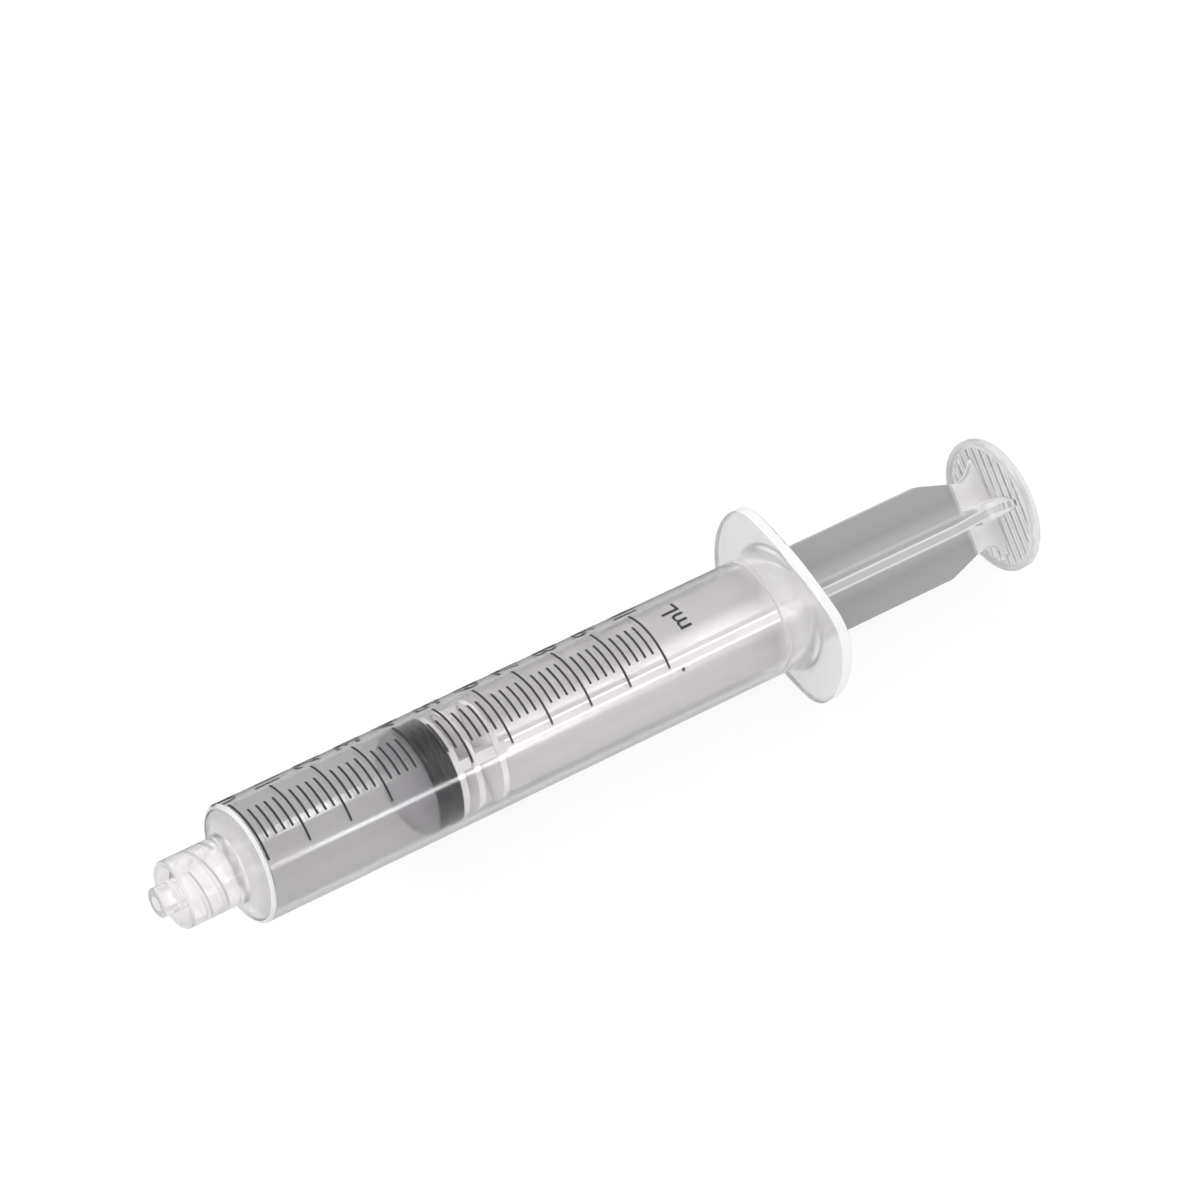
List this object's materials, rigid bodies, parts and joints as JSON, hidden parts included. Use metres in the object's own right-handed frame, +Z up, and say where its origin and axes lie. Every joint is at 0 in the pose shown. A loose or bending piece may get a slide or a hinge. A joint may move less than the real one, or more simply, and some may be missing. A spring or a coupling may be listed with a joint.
{
  "type": "syringe",
  "caption": "Clear plastic syringe with a locking nozzle, printed scale, rubber stopper and ribbed plunger rod with a round thumb rest.",
  "frame": {"origin": "centre of the nozzle mouth, on the syringe's axis", "axes": "+X along the axis from the nozzle to the thumb rest, +Y along the finger flange, +Z up through the middle of the printed scale"},
  "size_m": [0.1328, 0.0278, 0.0188],
  "materials": {
    "clear_barrel": "clear moulded polypropylene, glossy",
    "scale_ink": "printed ink, satin",
    "stopper_rubber": "moulded rubber, lightly lubricated",
    "clear_rod": "clear moulded polypropylene, glossy"
  },
  "bodies": {
    "barrel": {"barrel": "clear_barrel", "graduation_print": "scale_ink"},
    "stopper": {"stopper": "stopper_rubber"},
    "plunger_rod": {"plunger_rod": "clear_rod"}
  },
  "joints": [
    {"name": "stopper_slide", "type": "slide", "parent": "barrel", "child": "stopper", "axis": [1, 0, 0], "range_m": [-0.0244, 0.0505]},
    {"name": "rod_turn", "type": "hinge", "parent": "stopper", "child": "plunger_rod", "pos_m": [0.05, 0, 0], "axis": [1, 0, 0], "continuous": true}
  ]
}
